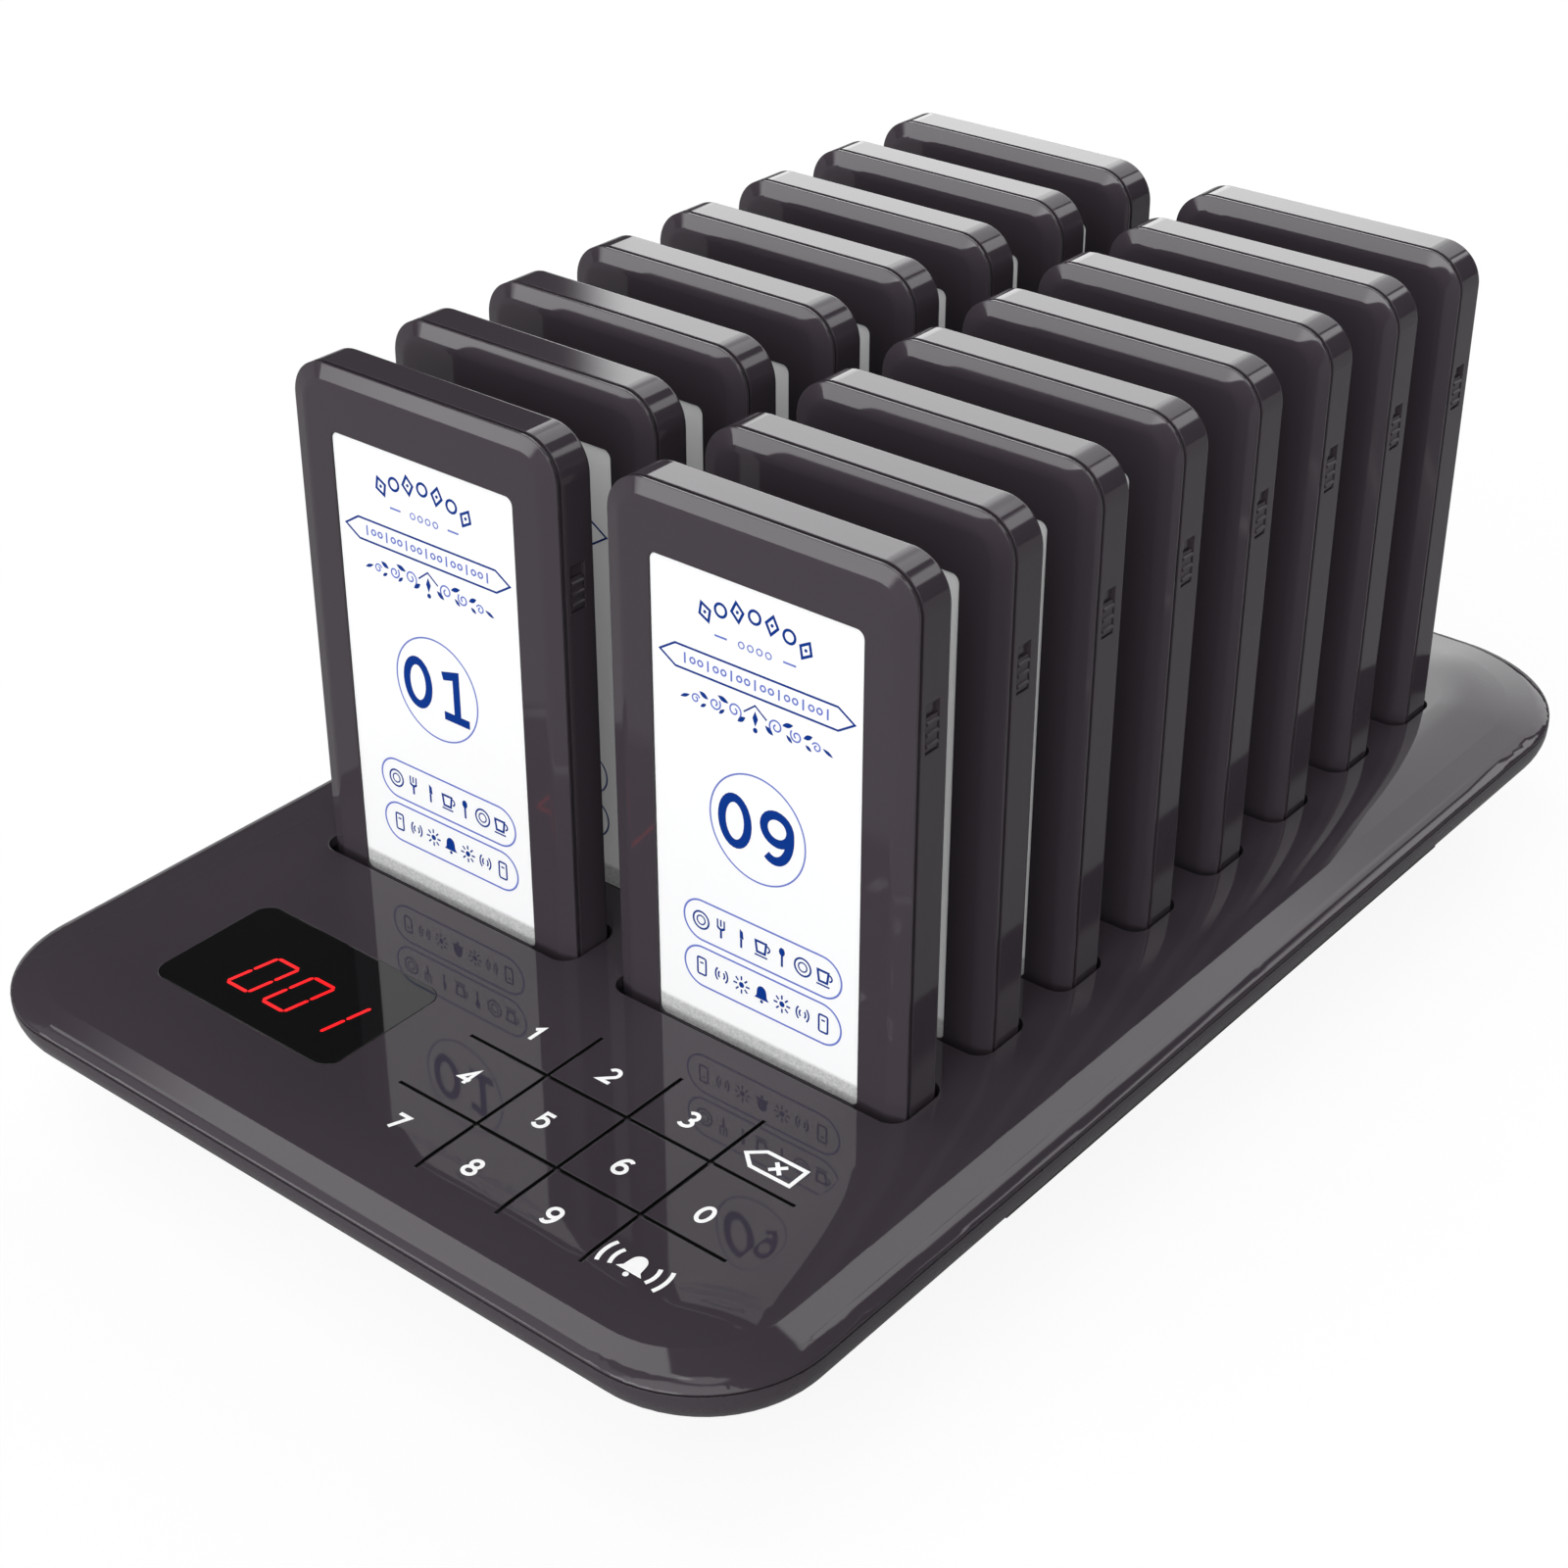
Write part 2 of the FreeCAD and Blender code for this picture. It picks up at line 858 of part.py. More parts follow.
def switch_rib(x, half, middle):
    """One rib across the knob, narrower at its top."""
    foot = rib_height / 2
    crest = foot - rib_taper
    corners = [
        Vector(x, switch_back - half, middle - foot),
        Vector(x + rib_rise, switch_back - half, middle - crest),
        Vector(x + rib_rise, switch_back - half, middle + crest),
        Vector(x, switch_back - half, middle + foot),
    ]
    return pushed_back(Part.makePolygon(corners + [corners[0]]), 2 * half)


def save(name, shape):
    if isinstance(shape, list):
        shape = Part.makeCompound(shape)
    shape.exportStep("parts/" + name + ".step")
    volume = sum(solid.Volume for solid in shape.Solids)
    print(name, "solids", len(shape.Solids), "valid", shape.isValid(), "volume", round(volume, 1))


def main():
    os.makedirs("parts", exist_ok=True)
    save("top_cover", top_cover())
    save("bottom_case", bottom_case())
    save("pager_cradles", [pager_cradle(column) for column in range(pager_columns)])
    save("display_window", display_window())
    save("digit_display", digit_display())
    save("control_board", control_board())
    save("touch_pads", touch_pads())
    save("charging_boards", charging_boards())
    save("charging_pins", charging_pins())
    save("rubber_feet", rubber_feet())
    save("case_screws", case_screws())
    save("power_inlet", power_inlet())
    housing = pager_housing()
    screen = pager_screen()
    knob = switch_knob()
    for index, (x, y) in enumerate(pager_places()):
        number = "%02d" % (index + 1)
        place = Vector(x, y, pager_bottom)
        save("pager_" + number + "_housing", housing.translated(place))
        save("pager_" + number + "_screen", screen.translated(place))
        save("pager_" + number + "_switch", knob.translated(place))


main()
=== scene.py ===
import json
import math
from collections import namedtuple

import bmesh
import bpy
from mathutils import Euler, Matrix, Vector
from mathutils.bvhtree import BVHTree
from mathutils.geometry import delaunay_2d_cdt


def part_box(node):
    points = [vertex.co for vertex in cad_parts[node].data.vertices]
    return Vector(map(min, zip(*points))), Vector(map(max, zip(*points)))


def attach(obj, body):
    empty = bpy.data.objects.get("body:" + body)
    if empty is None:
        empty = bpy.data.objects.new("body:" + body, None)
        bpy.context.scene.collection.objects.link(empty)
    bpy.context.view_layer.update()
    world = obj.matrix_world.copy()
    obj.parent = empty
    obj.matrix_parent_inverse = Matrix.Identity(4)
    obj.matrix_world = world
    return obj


# Guest pager system: finishes, printed cards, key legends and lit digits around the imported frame.
# Metres throughout, in the frame's own axes: +X along the keypad's rows, front towards -Y.
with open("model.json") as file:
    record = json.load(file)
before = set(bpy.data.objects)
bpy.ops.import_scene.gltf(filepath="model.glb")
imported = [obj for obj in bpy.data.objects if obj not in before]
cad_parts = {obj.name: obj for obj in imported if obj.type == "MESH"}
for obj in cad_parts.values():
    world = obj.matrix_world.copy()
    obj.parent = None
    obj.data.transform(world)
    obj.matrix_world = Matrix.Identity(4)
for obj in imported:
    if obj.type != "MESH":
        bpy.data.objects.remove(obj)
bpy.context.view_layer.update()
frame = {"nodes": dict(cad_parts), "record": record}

MM = 0.001
PAGERS = ["%02d" % n for n in range(1, 17)]
EAST = Vector((1, 0, 0))
NORTH = Vector((0, 1, 0))
UP = Vector((0, 0, 1))

# Camera that was fitted to the photograph
CAMERA_PLACE = Vector((279.0, -360.6, 311.3)) * MM
CAMERA_TILT = 59.887
CAMERA_ROLL = 0.220
CAMERA_HEADING = 39.646
SENSOR_WIDTH = 36.0
LENS = 64.768
SHIFT_X = 0.01514
SHIFT_Y = -0.03286
NEAR_CLIP = 0.01

# Colours, linear
BODY = (0.0385, 0.0317, 0.0390)
CRADLE = (0.012, 0.011, 0.013)
# Near-black painted shade for the engraved key lines, standing in for the shade in the grooves
GROOVE_SHADE = (0.004, 0.004, 0.004)
WINDOW = (0.0036, 0.0036, 0.0038)
SCREEN = (0.66, 0.664, 0.668)
PRINT_DARK = (0.003, 0.028, 0.190)
PRINT_LIGHT = (0.11, 0.15, 0.45)
LEGEND = (0.90, 0.90, 0.90)
DIGIT = (0.80, 0.004, 0.006)
BOARD = (0.02, 0.12, 0.05)
RUBBER = (0.010, 0.010, 0.010)
STEEL = (0.60, 0.60, 0.60)
DARK_STEEL = (0.42, 0.42, 0.44)
GOLD = (0.85, 0.62, 0.26)

# Refraction index of the body's plastics, low for reflections as weak as the photograph's
BODY_IOR = 1.38

# Roughness of prints, legends and lit segments
INK_ROUGHNESS = 0.4

# Noise cells per metre: slow clouds of tint, smears of gloss, speckle in the painted shade at a lit panel's foot,
# mottle along a lit segment, clouds on the floor, and lines drawn along X in bare metal
CLOUD_SCALE = 22.0
SMEAR_SCALE = 140.0
SHADE_SPECKLE_SCALE = 2500.0
MOTTLE_SCALE = 900.0
FLOOR_CLOUD_SCALE = 3.0
DRAWN_SCALE = (300.0, 3000.0, 3000.0)

# From least to most: what the drawn lines make of a metal's colour and roughness and the mottle of a segment's
# colour, and the floor's own grey
DRAWN_TONE = (0.9, 1.0)
DRAWN_GLOSS = (0.7, 1.3)
MOTTLE_TONE = (0.9, 1.1)
FLOOR_TONE = (0.89, 0.91)

# A housing's charging contacts end below this height over its bottom
CONTACT_TOP = 4.0 * MM

# Corners of a CAD mesh closer than this are one
WELD = 0.01 * MM

# Painted shade at the screens' foot, where the slot shades them: below the first of these heights over the ground the
# lit panels keep only this share of their colour and glow, with painted grain; above the second they keep all. Their
# own glow, partly painted light that brightens the screens standing in the shade of the pager in front, comes on top
# of the light that they scatter.
SLOT_SHADE_HEIGHTS = (32.6 * MM, 33.4 * MM)
SLOT_SHADE_SHARE = 0.56
SLOT_SHADE_GRAIN = 1.0
PANEL_GLOW = 0.165

# The engraved key lines, which get painted shade, are found where the cover stands higher on both sides: how far to
# the sides, how much higher, how far below the outer surface their faces lie at most, and how far past the touch pads
# they reach
LINE_REACH = 1.0 * MM
LINE_DEPTH = 0.15 * MM
LINE_SKIN = 1.0 * MM
LINE_MARGIN = 8.0 * MM

# Prints stand this far above what carries them, on a sunken root of the same size; drawn points closer
# than the merging gap, in millimetres, become one
PROUD = 0.04 * MM
MERGING_GAP = 0.002

# A strip's mitred corner reaches out by at most its half width over this
MITRE_LIMIT = 0.35

# Screen card, measured from the middle of the screen's width and from the pager's bottom
FINE_LINE = 0.22 * MM
SLIM_LINE = FINE_LINE * 1.3
FIRM_LINE = FINE_LINE * 1.5
PILL_LINE = 0.34 * MM
BOLD_LINE = 0.36 * MM
ARCH_LINE = BOLD_LINE * 1.3
BADGE_HEIGHT = 56.2 * MM
BADGE_OFFSET = 0.3 * MM
BADGE_RADIUS = 9.8 * MM
NUMERAL_HEIGHT = 10.2 * MM
NUMERAL_WIDTH = 7.0 * MM
NUMERAL_STROKE = 1.6 * MM
NUMERAL_GAP = 1.7 * MM
BANNER_HEIGHT = 82.4 * MM
BANNER_HALF = 19.5 * MM
BANNER_SHOULDER = 16.3 * MM
BANNER_RISE = 2.05 * MM
BANNER_MARGIN = 2.0 * MM
BANNER_MARKS = 19
BEAD_RADIUS = 0.5 * MM
TICK_HALF = 0.95 * MM
ARCH_CENTRE = 71.2 * MM
ARCH_RADIUS = 23.0 * MM
ARCH_STEP = 8.6
ARCH_MARK = 3.3 * MM
RULE_HEIGHT = 88.5 * MM
RULE_ENDS = (5.6 * MM, 8.1 * MM)
RULE_PITCH = 1.8 * MM
RULE_RING = 0.55 * MM
SCROLL_HEIGHT = 76.5 * MM
PILL_HEIGHTS = (34.0 * MM, 24.8 * MM)
PILL_WIDTH = 33.1 * MM
PILL_RISE = 7.8 * MM
PILL_OFFSET = 1.05 * MM
ICON_SIZE = 3.6 * MM
ICON_PITCH = 4.3 * MM
ICON_LINE = 0.42 * MM

# Shares of an arch mark's size: a lozenge's half width, the dot inside it and a ring's radius
LOZENGE_SHARE = 0.36
DOT_SHARE = 0.09
RING_SHARE = 0.34

# Right half of the flourish, in millimetres from its middle. Scrolls: centre, first and last radius, start in
# degrees, turns, line. Leaves: width, then the root and tip of each.
SCROLLS = (
    ((4.2, 0.0), 1.4, 0.3, 215, -1.3, SLIM_LINE),
    ((8.2, -0.2), 1.2, 0.3, 140, 1.3, SLIM_LINE),
    ((12.2, -0.7), 0.9, 0.25, 160, -1.2, FINE_LINE * 1.2),
)
LEAVES = (
    (0.85, (((2.0, -0.5), (3.6, -1.7)), ((5.4, 0.8), (7.6, 1.5)), ((9.6, 0.0), (11.4, 0.9)))),
    (0.6, (((6.2, -0.6), (7.4, -1.7)), ((10.0, -1.0), (11.2, -1.8)), ((13.4, -0.4), (15.4, -1.3)))),
)

# Key legends, measured from the centres of the touch pads under the keys
PAD_RADIUS = 4.5 * MM
LEGEND_LEFT = -0.6 * MM
LEGEND_FRONT = -1.05 * MM
LEGEND_ROW_PITCH = 15.6 * MM
LEGEND_ROW_SHIFT = -0.45 * MM
LEGEND_COLUMN_DROP = -0.6 * MM
LEGEND_HEIGHT = 4.3 * MM
LEGEND_WIDTH = 2.9 * MM
LEGEND_STROKE = 0.72 * MM
ARROW_SIZE = 5.3 * MM
BELL_SIZE = 5.0 * MM
BELL_WAVES = ((0.80, 27), (1.22, 24))
KEY_ROWS = (("1", "2", "3", "back"), ("4", "5", "6", "0"), ("7", "8", "9", "bell"))

# Lit digits, measured from the middle of the display window
DIGITS_SHIFT = Vector((-9.7, -7.25)) * MM
DIGIT_PITCH = 9.0 * MM
SEGMENT_HEIGHT = 10.2 * MM
SEGMENT_WIDTH = 5.3 * MM
SEGMENT_STROKE = 0.66 * MM
SEGMENT_GAP = 0.12 * MM
SEGMENT_SLANT = math.tan(math.radians(10.5))
DIGIT_TEXT = "001"

# Ends of the seven segments in shares of a digit's width and height, and the segments that each digit lights
SEGMENT_SHARES = {
    "a": ((0, 1), (1, 1)),
    "b": ((1, 1), (1, 0.5)),
    "c": ((1, 0.5), (1, 0)),
    "d": ((0, 0), (1, 0)),
    "e": ((0, 0.5), (0, 0)),
    "f": ((0, 1), (0, 0.5)),
}
LIT_SEGMENTS = {"0": "abcdef", "1": "bc"}

# Light patches as seen from the object, in degrees: turn from +Y towards -X and rise above the horizon, each from
# low to high, and how far each of these two pairs of edges fades out. The first two make one panel that is narrower
# above, and the last is a cap over everything.
Patch = namedtuple("Patch", "turn rise turn_fade rise_fade strength")
AMBIENT = 0.05
ALL_ROUND = (-90.0, 270.0)
MAIN_TURN = (-8.0, 42.5)
UPPER_TURN = (-8.0, 27.0)
PATCHES = [
    Patch(MAIN_TURN, (8.0, 49.0), (1.5, 1.5), (1.5, 1.5), 1.9),
    Patch(UPPER_TURN, (50.5, 57.5), (1.5, 3.0), (1.5, 1.5), 1.9),
    Patch((28.0, 42.5), (12.0, 28.0), (10.0, 1.5), (8.0, 10.0), 1.75),
    Patch(UPPER_TURN, (43.0, 57.5), (4.0, 3.0), (4.0, 1.5), 1.1),
    Patch((-40.0, -14.0), (28.0, 37.0), (3.0, 3.0), (3.0, 3.0), 3.2),
    Patch((76.0, 116.0), (50.0, 84.0), (5.0, 4.0), (4.0, 4.0), 3.2),
    Patch((118.0, 158.0), (24.0, 50.0), (8.0, 8.0), (8.0, 4.0), 0.7),
    Patch((138.0, 205.0), (1.5, 14.0), (7.0, 3.0), (2.0, 3.0), 5.0),
    Patch((165.0, 246.0), (5.0, 72.0), (8.0, 8.0), (8.0, 8.0), 2.3),
    Patch(ALL_ROUND, (84.0, 90.0), (0.1, 0.1), (3.0, 0.1), 2.0),
]

# How much of the floor's own white the camera sees, also through glass, instead of its lit surface, how much of
# its light the floor keeps from everything else, and how far it reaches to each side
FLOOR_WHITE_SHARE = 0.90
FLOOR_LOSS = 0.60
FLOOR_HALF = 6.0


def link(obj):
    bpy.context.scene.collection.objects.link(obj)
    return obj


def make_camera():
    camera = link(bpy.data.objects.new("photo_camera", bpy.data.cameras.new("photo_camera")))
    camera.location = CAMERA_PLACE
    angles = [math.radians(a) for a in (CAMERA_TILT, CAMERA_ROLL, CAMERA_HEADING)]
    camera.rotation_euler = Euler(angles, "XYZ")
    camera.data.sensor_width = SENSOR_WIDTH
    camera.data.lens = LENS
    camera.data.shift_x = SHIFT_X
    camera.data.shift_y = SHIFT_Y
    camera.data.clip_start = NEAR_CLIP
    bpy.context.scene.camera = camera


class Nodes:
    """A short way to write a node tree: add a node, set its sockets, join sockets."""

    def __init__(self, tree):
        self.tree = tree
        self.tree.nodes.clear()

    def add(self, kind, inputs=None, **settings):
        """A new node: inputs gives its sockets values, or other nodes' sockets to be joined to."""
        node = self.tree.nodes.new("ShaderNode" + kind)
        for key, value in settings.items():
            setattr(node, key, value)
        for key, value in (inputs or {}).items():
            if isinstance(value, bpy.types.NodeSocket):
                self.tree.links.new(value, node.inputs[key])
            else:
                node.inputs[key].default_value = value
        return node

    def math(self, operation, first, second=0.0):
        return self.add("Math", {0: first, 1: second}, operation=operation).outputs[0]

    def place(self):
        """Where a point lies on the object itself."""
        return self.add("TexCoord").outputs["Object"]

    def noise(self, place, scale, detail=2.0):
        return self.add("TexNoise", {"Vector": place, "Scale": scale, "Detail": detail}).outputs["Fac"]

    def remap(self, value, low, high, start=0.0, end=1.0, **settings):
        """Low to high while value goes from start to end, and no further."""
        return self.add("MapRange", {0: value, 1: start, 2: end, 3: low, 4: high}, **settings).outputs[0]

    def scaled(self, colour, share):
        return self.add("VectorMath", {0: colour, "Scale": share}, operation="SCALE").outputs[0]

    def band(self, value, ends, fades):
        """1 between the two ends, falling to 0 over the fade beyond each."""
        low, high = ends
        up = self.remap(value, 0.0, 1.0, low - fades[0], low, interpolation_type="SMOOTHSTEP")
        down = self.remap(value, 0.0, 1.0, high, high + fades[1], interpolation_type="SMOOTHSTEP")
        return self.math("MULTIPLY", up, self.math("SUBTRACT", 1.0, down))


def new_material(name):
    material = bpy.data.materials.new(name)
    material.use_nodes = True
    return material, Nodes(material.node_tree)


def slot_shade_tone(nodes, place):
    """Painted shade towards a lit panel's foot, where the slot shades it, with painted grain where it fades."""
    height = nodes.add("SeparateXYZ", {0: place}).outputs["Z"]
    light = nodes.remap(height, SLOT_SHADE_SHARE, 1.0, *SLOT_SHADE_HEIGHTS)
    speckle = nodes.noise(place, SHADE_SPECKLE_SCALE, 1.0)
    swing = nodes.math("MULTIPLY", nodes.math("SUBTRACT", speckle, 0.5), nodes.math("SUBTRACT", 1.0, light))
    return nodes.math("ADD", light, nodes.math("MULTIPLY", swing, SLOT_SHADE_GRAIN))


def plastic(
    name, colour, roughness, grain=0.0, grain_size=0.4 * MM, ior=1.5, edge=0.25 * MM, tint=0.06, wipe=0.15,
    glow=0.0,
):
    """Moulded plastic, whose colour and roughness vary slowly by the shares tint and wipe.

    A fine bump is grain deep with cells of grain_size, edges look rounded to the radius edge, and a lit panel
    adds its own glow, partly painted light for panels in shade; its colour and glow get painted shade at its foot.
    """
    material, nodes = new_material(name)
    place = nodes.place()
    tone = nodes.remap(nodes.noise(place, CLOUD_SCALE, 3.0), 1.0 - tint, 1.0 + tint)
    # painted shade at the foot of a lit panel, where the slot shades it
    if glow:
        tone = nodes.math("MULTIPLY", tone, slot_shade_tone(nodes, place))
    shade = nodes.scaled(colour, tone)
    gloss = nodes.remap(nodes.noise(place, SMEAR_SCALE, 4.0), roughness * (1 - wipe), roughness * (1 + wipe))
    grit = nodes.noise(place, 1.0 / grain_size)
    bump = nodes.add("Bump", {"Strength": 1.0, "Distance": grain, "Height": grit})
    if edge:
        soft_edge = nodes.add("Bevel", {"Radius": edge}, samples=4).outputs[0]
        nodes.tree.links.new(soft_edge, bump.inputs["Normal"])
    shader = nodes.add(
        "BsdfPrincipled",
        {"Base Color": shade, "Roughness": gloss, "IOR": ior, "Normal": bump.outputs[0], "Emission Strength": glow},
    )
    # the glow takes the colour with its painted shade, and is partly painted light for screens in shade
    if glow:
        nodes.tree.links.new(shade, shader.inputs["Emission Color"])
    nodes.add("OutputMaterial", {"Surface": shader.outputs[0]})
    return material


def metal(name, colour, roughness):
    """Bare metal with fine drawn lines in its gloss."""
    material, nodes = new_material(name)
    stretched = nodes.add("VectorMath", {0: nodes.place(), 1: DRAWN_SCALE}, operation="MULTIPLY").outputs[0]
    lines = nodes.noise(stretched, 1.0)
    gloss = nodes.remap(lines, roughness * DRAWN_GLOSS[0], roughness * DRAWN_GLOSS[1])
    shade = nodes.scaled(colour, nodes.remap(lines, *DRAWN_TONE))
    shader = nodes.add("BsdfPrincipled", {"Base Color": shade, "Metallic": 1.0, "Roughness": gloss})
    nodes.add("OutputMaterial", {"Surface": shader.outputs[0]})
    return material


def lit(name, colour, strength):
    """A glowing segment, slightly uneven along its length."""
    material, nodes = new_material(name)
    shade = nodes.scaled(colour, nodes.remap(nodes.noise(nodes.place(), MOTTLE_SCALE), *MOTTLE_TONE))
    shader = nodes.add(
        "BsdfPrincipled",
        {"Base Color": shade, "Roughness": INK_ROUGHNESS, "Emission Color": shade, "Emission Strength": strength},
    )
    nodes.add("OutputMaterial", {"Surface": shader.outputs[0]})
    return material


def make_materials():
    glossy = {"grain": 0.0006 * MM, "grain_size": 1.4 * MM, "ior": BODY_IOR}
    ink = {"ior": 1.1, "edge": 0, "tint": 0.04}
    return {
        "gloss_body": plastic("gloss_body", BODY, 0.04, **glossy),
        "matte_body": plastic("matte_body", BODY, 0.28, grain=0.003 * MM, grain_size=0.5 * MM, ior=BODY_IOR),
        "matte_black": plastic("matte_black", CRADLE, 0.45, grain=0.01 * MM),
        "window_black": plastic("window_black", WINDOW, 0.04),
        "digit_red": plastic("digit_red", DIGIT, 0.4),
        "board_green": plastic("board_green", BOARD, 0.35, grain=0.01 * MM),
        "spring_metal": metal("spring_metal", STEEL, 0.25),
        "contact_gold": metal("contact_gold", GOLD, 0.2),
        "rubber_black": plastic("rubber_black", RUBBER, 0.7, grain=0.02 * MM),
        "screw_steel": metal("screw_steel", DARK_STEEL, 0.3),
        "pager_body": plastic("pager_body", BODY, 0.06, **glossy),
        # The screens' glow is partly painted light for those in shade, and their foot gets painted shade
        "screen_white": plastic("screen_white", SCREEN, 0.3, tint=0.006, wipe=0.03, glow=PANEL_GLOW),
        "switch_grey": plastic("switch_grey", BODY, 0.3, grain=0.005 * MM, ior=BODY_IOR, edge=0.12 * MM),
        # painted shade for the engraved key lines
        "key_lines": plastic("key_lines", GROOVE_SHADE, 0.6, ior=1.2, edge=0),
        "print_dark": plastic("print_dark", PRINT_DARK, INK_ROUGHNESS, **ink),
        "print_light": plastic("print_light", PRINT_LIGHT, INK_ROUGHNESS, **ink),
        "legend_white": plastic("legend_white", LEGEND, INK_ROUGHNESS, edge=0, tint=0.03),
        "digit_glow": lit("digit_glow", DIGIT, 1.0),
    }


def dress_frame(finishes):
    """Gives every CAD node the finish of its slot in the record."""
    for part in frame["record"]["subparts"]:
        node = frame["nodes"][part["node"]]
        node.data.materials.clear()
        node.data.materials.append(finishes[part["material_slot"]])


def add_finish(mesh, finish):
    """Adds a finish to a mesh and gives the index by which its polygons take it."""
    mesh.materials.append(finish)
    return len(mesh.materials) - 1


def islands(mesh):
    """The polygons of each solid in a CAD mesh, whose faces meet at equal places and not at shared vertices."""
    parent = list(range(len(mesh.vertices)))

    def root(index):
        while parent[index] != index:
            parent[index] = parent[parent[index]]
            index = parent[index]
        return index

    first_at = {}
    for vertex in mesh.vertices:
        spot = tuple(round(c / WELD) for c in vertex.co)
        parent[root(vertex.index)] = root(first_at.setdefault(spot, vertex.index))
    for polygon in mesh.polygons:
        first = root(polygon.vertices[0])
        for other in polygon.vertices[1:]:
            parent[root(other)] = first
    groups = {}
    for polygon in mesh.polygons:
        groups.setdefault(root(polygon.vertices[0]), []).append(polygon)
    return list(groups.values())


def gild_charging_pads(finishes):
    """The small low solids of each housing are its charging contacts, so they get bare gold."""
    for number in PAGERS:
        mesh = frame["nodes"]["pager_%s_housing" % number].data
        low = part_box("pager_%s_housing" % number)[0]
        gold = add_finish(mesh, finishes["contact_gold"])
        for solid in islands(mesh):
            top = max(mesh.vertices[v].co.z for polygon in solid for v in polygon.vertices)
            if top - low.z < CONTACT_TOP:
                for polygon in solid:
                    polygon.material_index = gold


def cover_height():
    """A function that gives the cover's outer height over a point, or nothing beside the cover."""
    mesh = frame["nodes"]["top_cover"].data
    surface = BVHTree.FromPolygons([v.co for v in mesh.vertices], [p.vertices for p in mesh.polygons])
    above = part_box("top_cover")[1].z + 1.0
    return lambda x, y: surface.ray_cast(Vector((x, y, above)), -UP)[0]


def shade_key_lines(finishes):
    """The walls and floors of the engraved lines between the keys get painted shade: a dull near-black finish for the
    shade in the grooves.
    """
    mesh = frame["nodes"]["top_cover"].data
    painted_shade = add_finish(mesh, finishes["key_lines"])
    height = cover_height()
    low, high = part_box("touch_pads")
    for polygon in mesh.polygons:
        x, y, z = polygon.center
        if not low.x - LINE_MARGIN < x < high.x + LINE_MARGIN or not low.y - LINE_MARGIN < y < high.y + LINE_MARGIN:
            continue
        outside = height(x, y)
        if not outside or outside.z - z >= LINE_SKIN:
            continue
        for across in (EAST * LINE_REACH, NORTH * LINE_REACH):
            sides = [height(x + step * across.x, y + step * across.y) for step in (-1, 1)]
            if all(sides) and min(side.z for side in sides) - z > LINE_DEPTH:
                polygon.material_index = painted_shade


def polar(radius, degrees):
    angle = math.radians(degrees)
    return Vector((radius * math.cos(angle), radius * math.sin(angle)))


def arc(centre, across, up, start, end, steps=20):
    """Part of an ellipse, from start to end degrees."""
    path = []
    for step in range(steps + 1):
        spot = polar(1.0, start + (end - start) * step / steps)
        path.append(Vector((centre[0] + across * spot.x, centre[1] + up * spot.y)))
    return path


def spiral(centre, first, last, start, turns, steps=30):
    """A path that winds from radius first to radius last."""
    path = []
    for step in range(steps + 1):
        share = step / steps
        path.append(centre + polar(first + (last - first) * share, start + 360 * turns * share))
    return path


def rounded(centre, width, height, radius, steps=10):
    """A closed rounded rectangle as a path."""
    path = []
    for quarter, (side_x, side_y) in enumerate(((1, 1), (-1, 1), (-1, -1), (1, -1))):
        corner = centre + Vector((side_x * (width / 2 - radius), side_y * (height / 2 - radius)))
        for step in range(steps + 1):
            path.append(corner + polar(radius, 90 * (quarter + step / steps)))
    return path


def mirrored(path, side):
    """The path itself for side 1, and its mirror image for side -1."""
    return [Vector((side * p.x, p.y)) for p in path]


def placer(middle, size):
    """A function that gives the place of a point drawn around middle, in shares of size."""
    return lambda x, y: middle + Vector((x, y)) * size


def points(*pairs):
    return [Vector(pair) for pair in pairs]


def numeral_paths(digit, foot):
    """Centre lines of a plain numeral in a box from -0.5 to 0.5: (path, closed) pairs. A foot puts 1 on a bar."""
    if digit == "0":
        return [(arc((0, 0), 0.5, 0.5, 0, 348, 29), True)]
    if digit == "1":
        if foot:
            base = points((-0.46, -0.5), (0.66, -0.5))
            return [(points((-0.46, 0.40), (0.14, 0.5), (0.14, -0.5)), False), (base, False)]
        return [(points((-0.40, 0.26), (0.06, 0.5), (0.06, -0.5)), False)]
    if digit == "2":
        return [(arc((0, 0.2), 0.46, 0.3, 160, -35) + points((-0.5, -0.5), (0.5, -0.5)), False)]
    if digit == "3":
        return [
            (arc((-0.06, 0.25), 0.46, 0.25, 145, -90), False),
            (arc((-0.06, -0.25), 0.52, 0.25, 90, -145), False),
        ]
    if digit == "4":
        return [(points((0.24, -0.5), (0.24, 0.5), (-0.5, -0.2), (0.5, -0.2)), False)]
    if digit == "5":
        flag = points((0.42, 0.5), (-0.34, 0.5), (-0.40, 0.04))
        return [(flag + arc((-0.04, -0.17), 0.52, 0.33, 125, -145), False)]
    if digit == "6":
        return [(arc((0, -0.2), 0.5, 0.3, 0, 345, 23), True), (arc((0.1, -0.1), 0.6, 0.6, 186, 60), False)]
    if digit == "7":
        return [(points((-0.5, 0.5), (0.5, 0.5), (-0.14, -0.5)), False)]
    if digit == "8":
        return [(arc((0, 0.25), 0.42, 0.25, 0, 345, 23), True), (arc((0, -0.25), 0.5, 0.25, 0, 345, 23), True)]
    # 9 is 6 turned by half a turn
    return [([-p for p in path], closed) for path, closed in numeral_paths("6", foot)]


def signed_area(outline):
    """The area inside an outline, below zero where it runs clockwise."""
    return sum(here.cross(on) for here, on in zip(outline, outline[1:] + outline[:1])) / 2


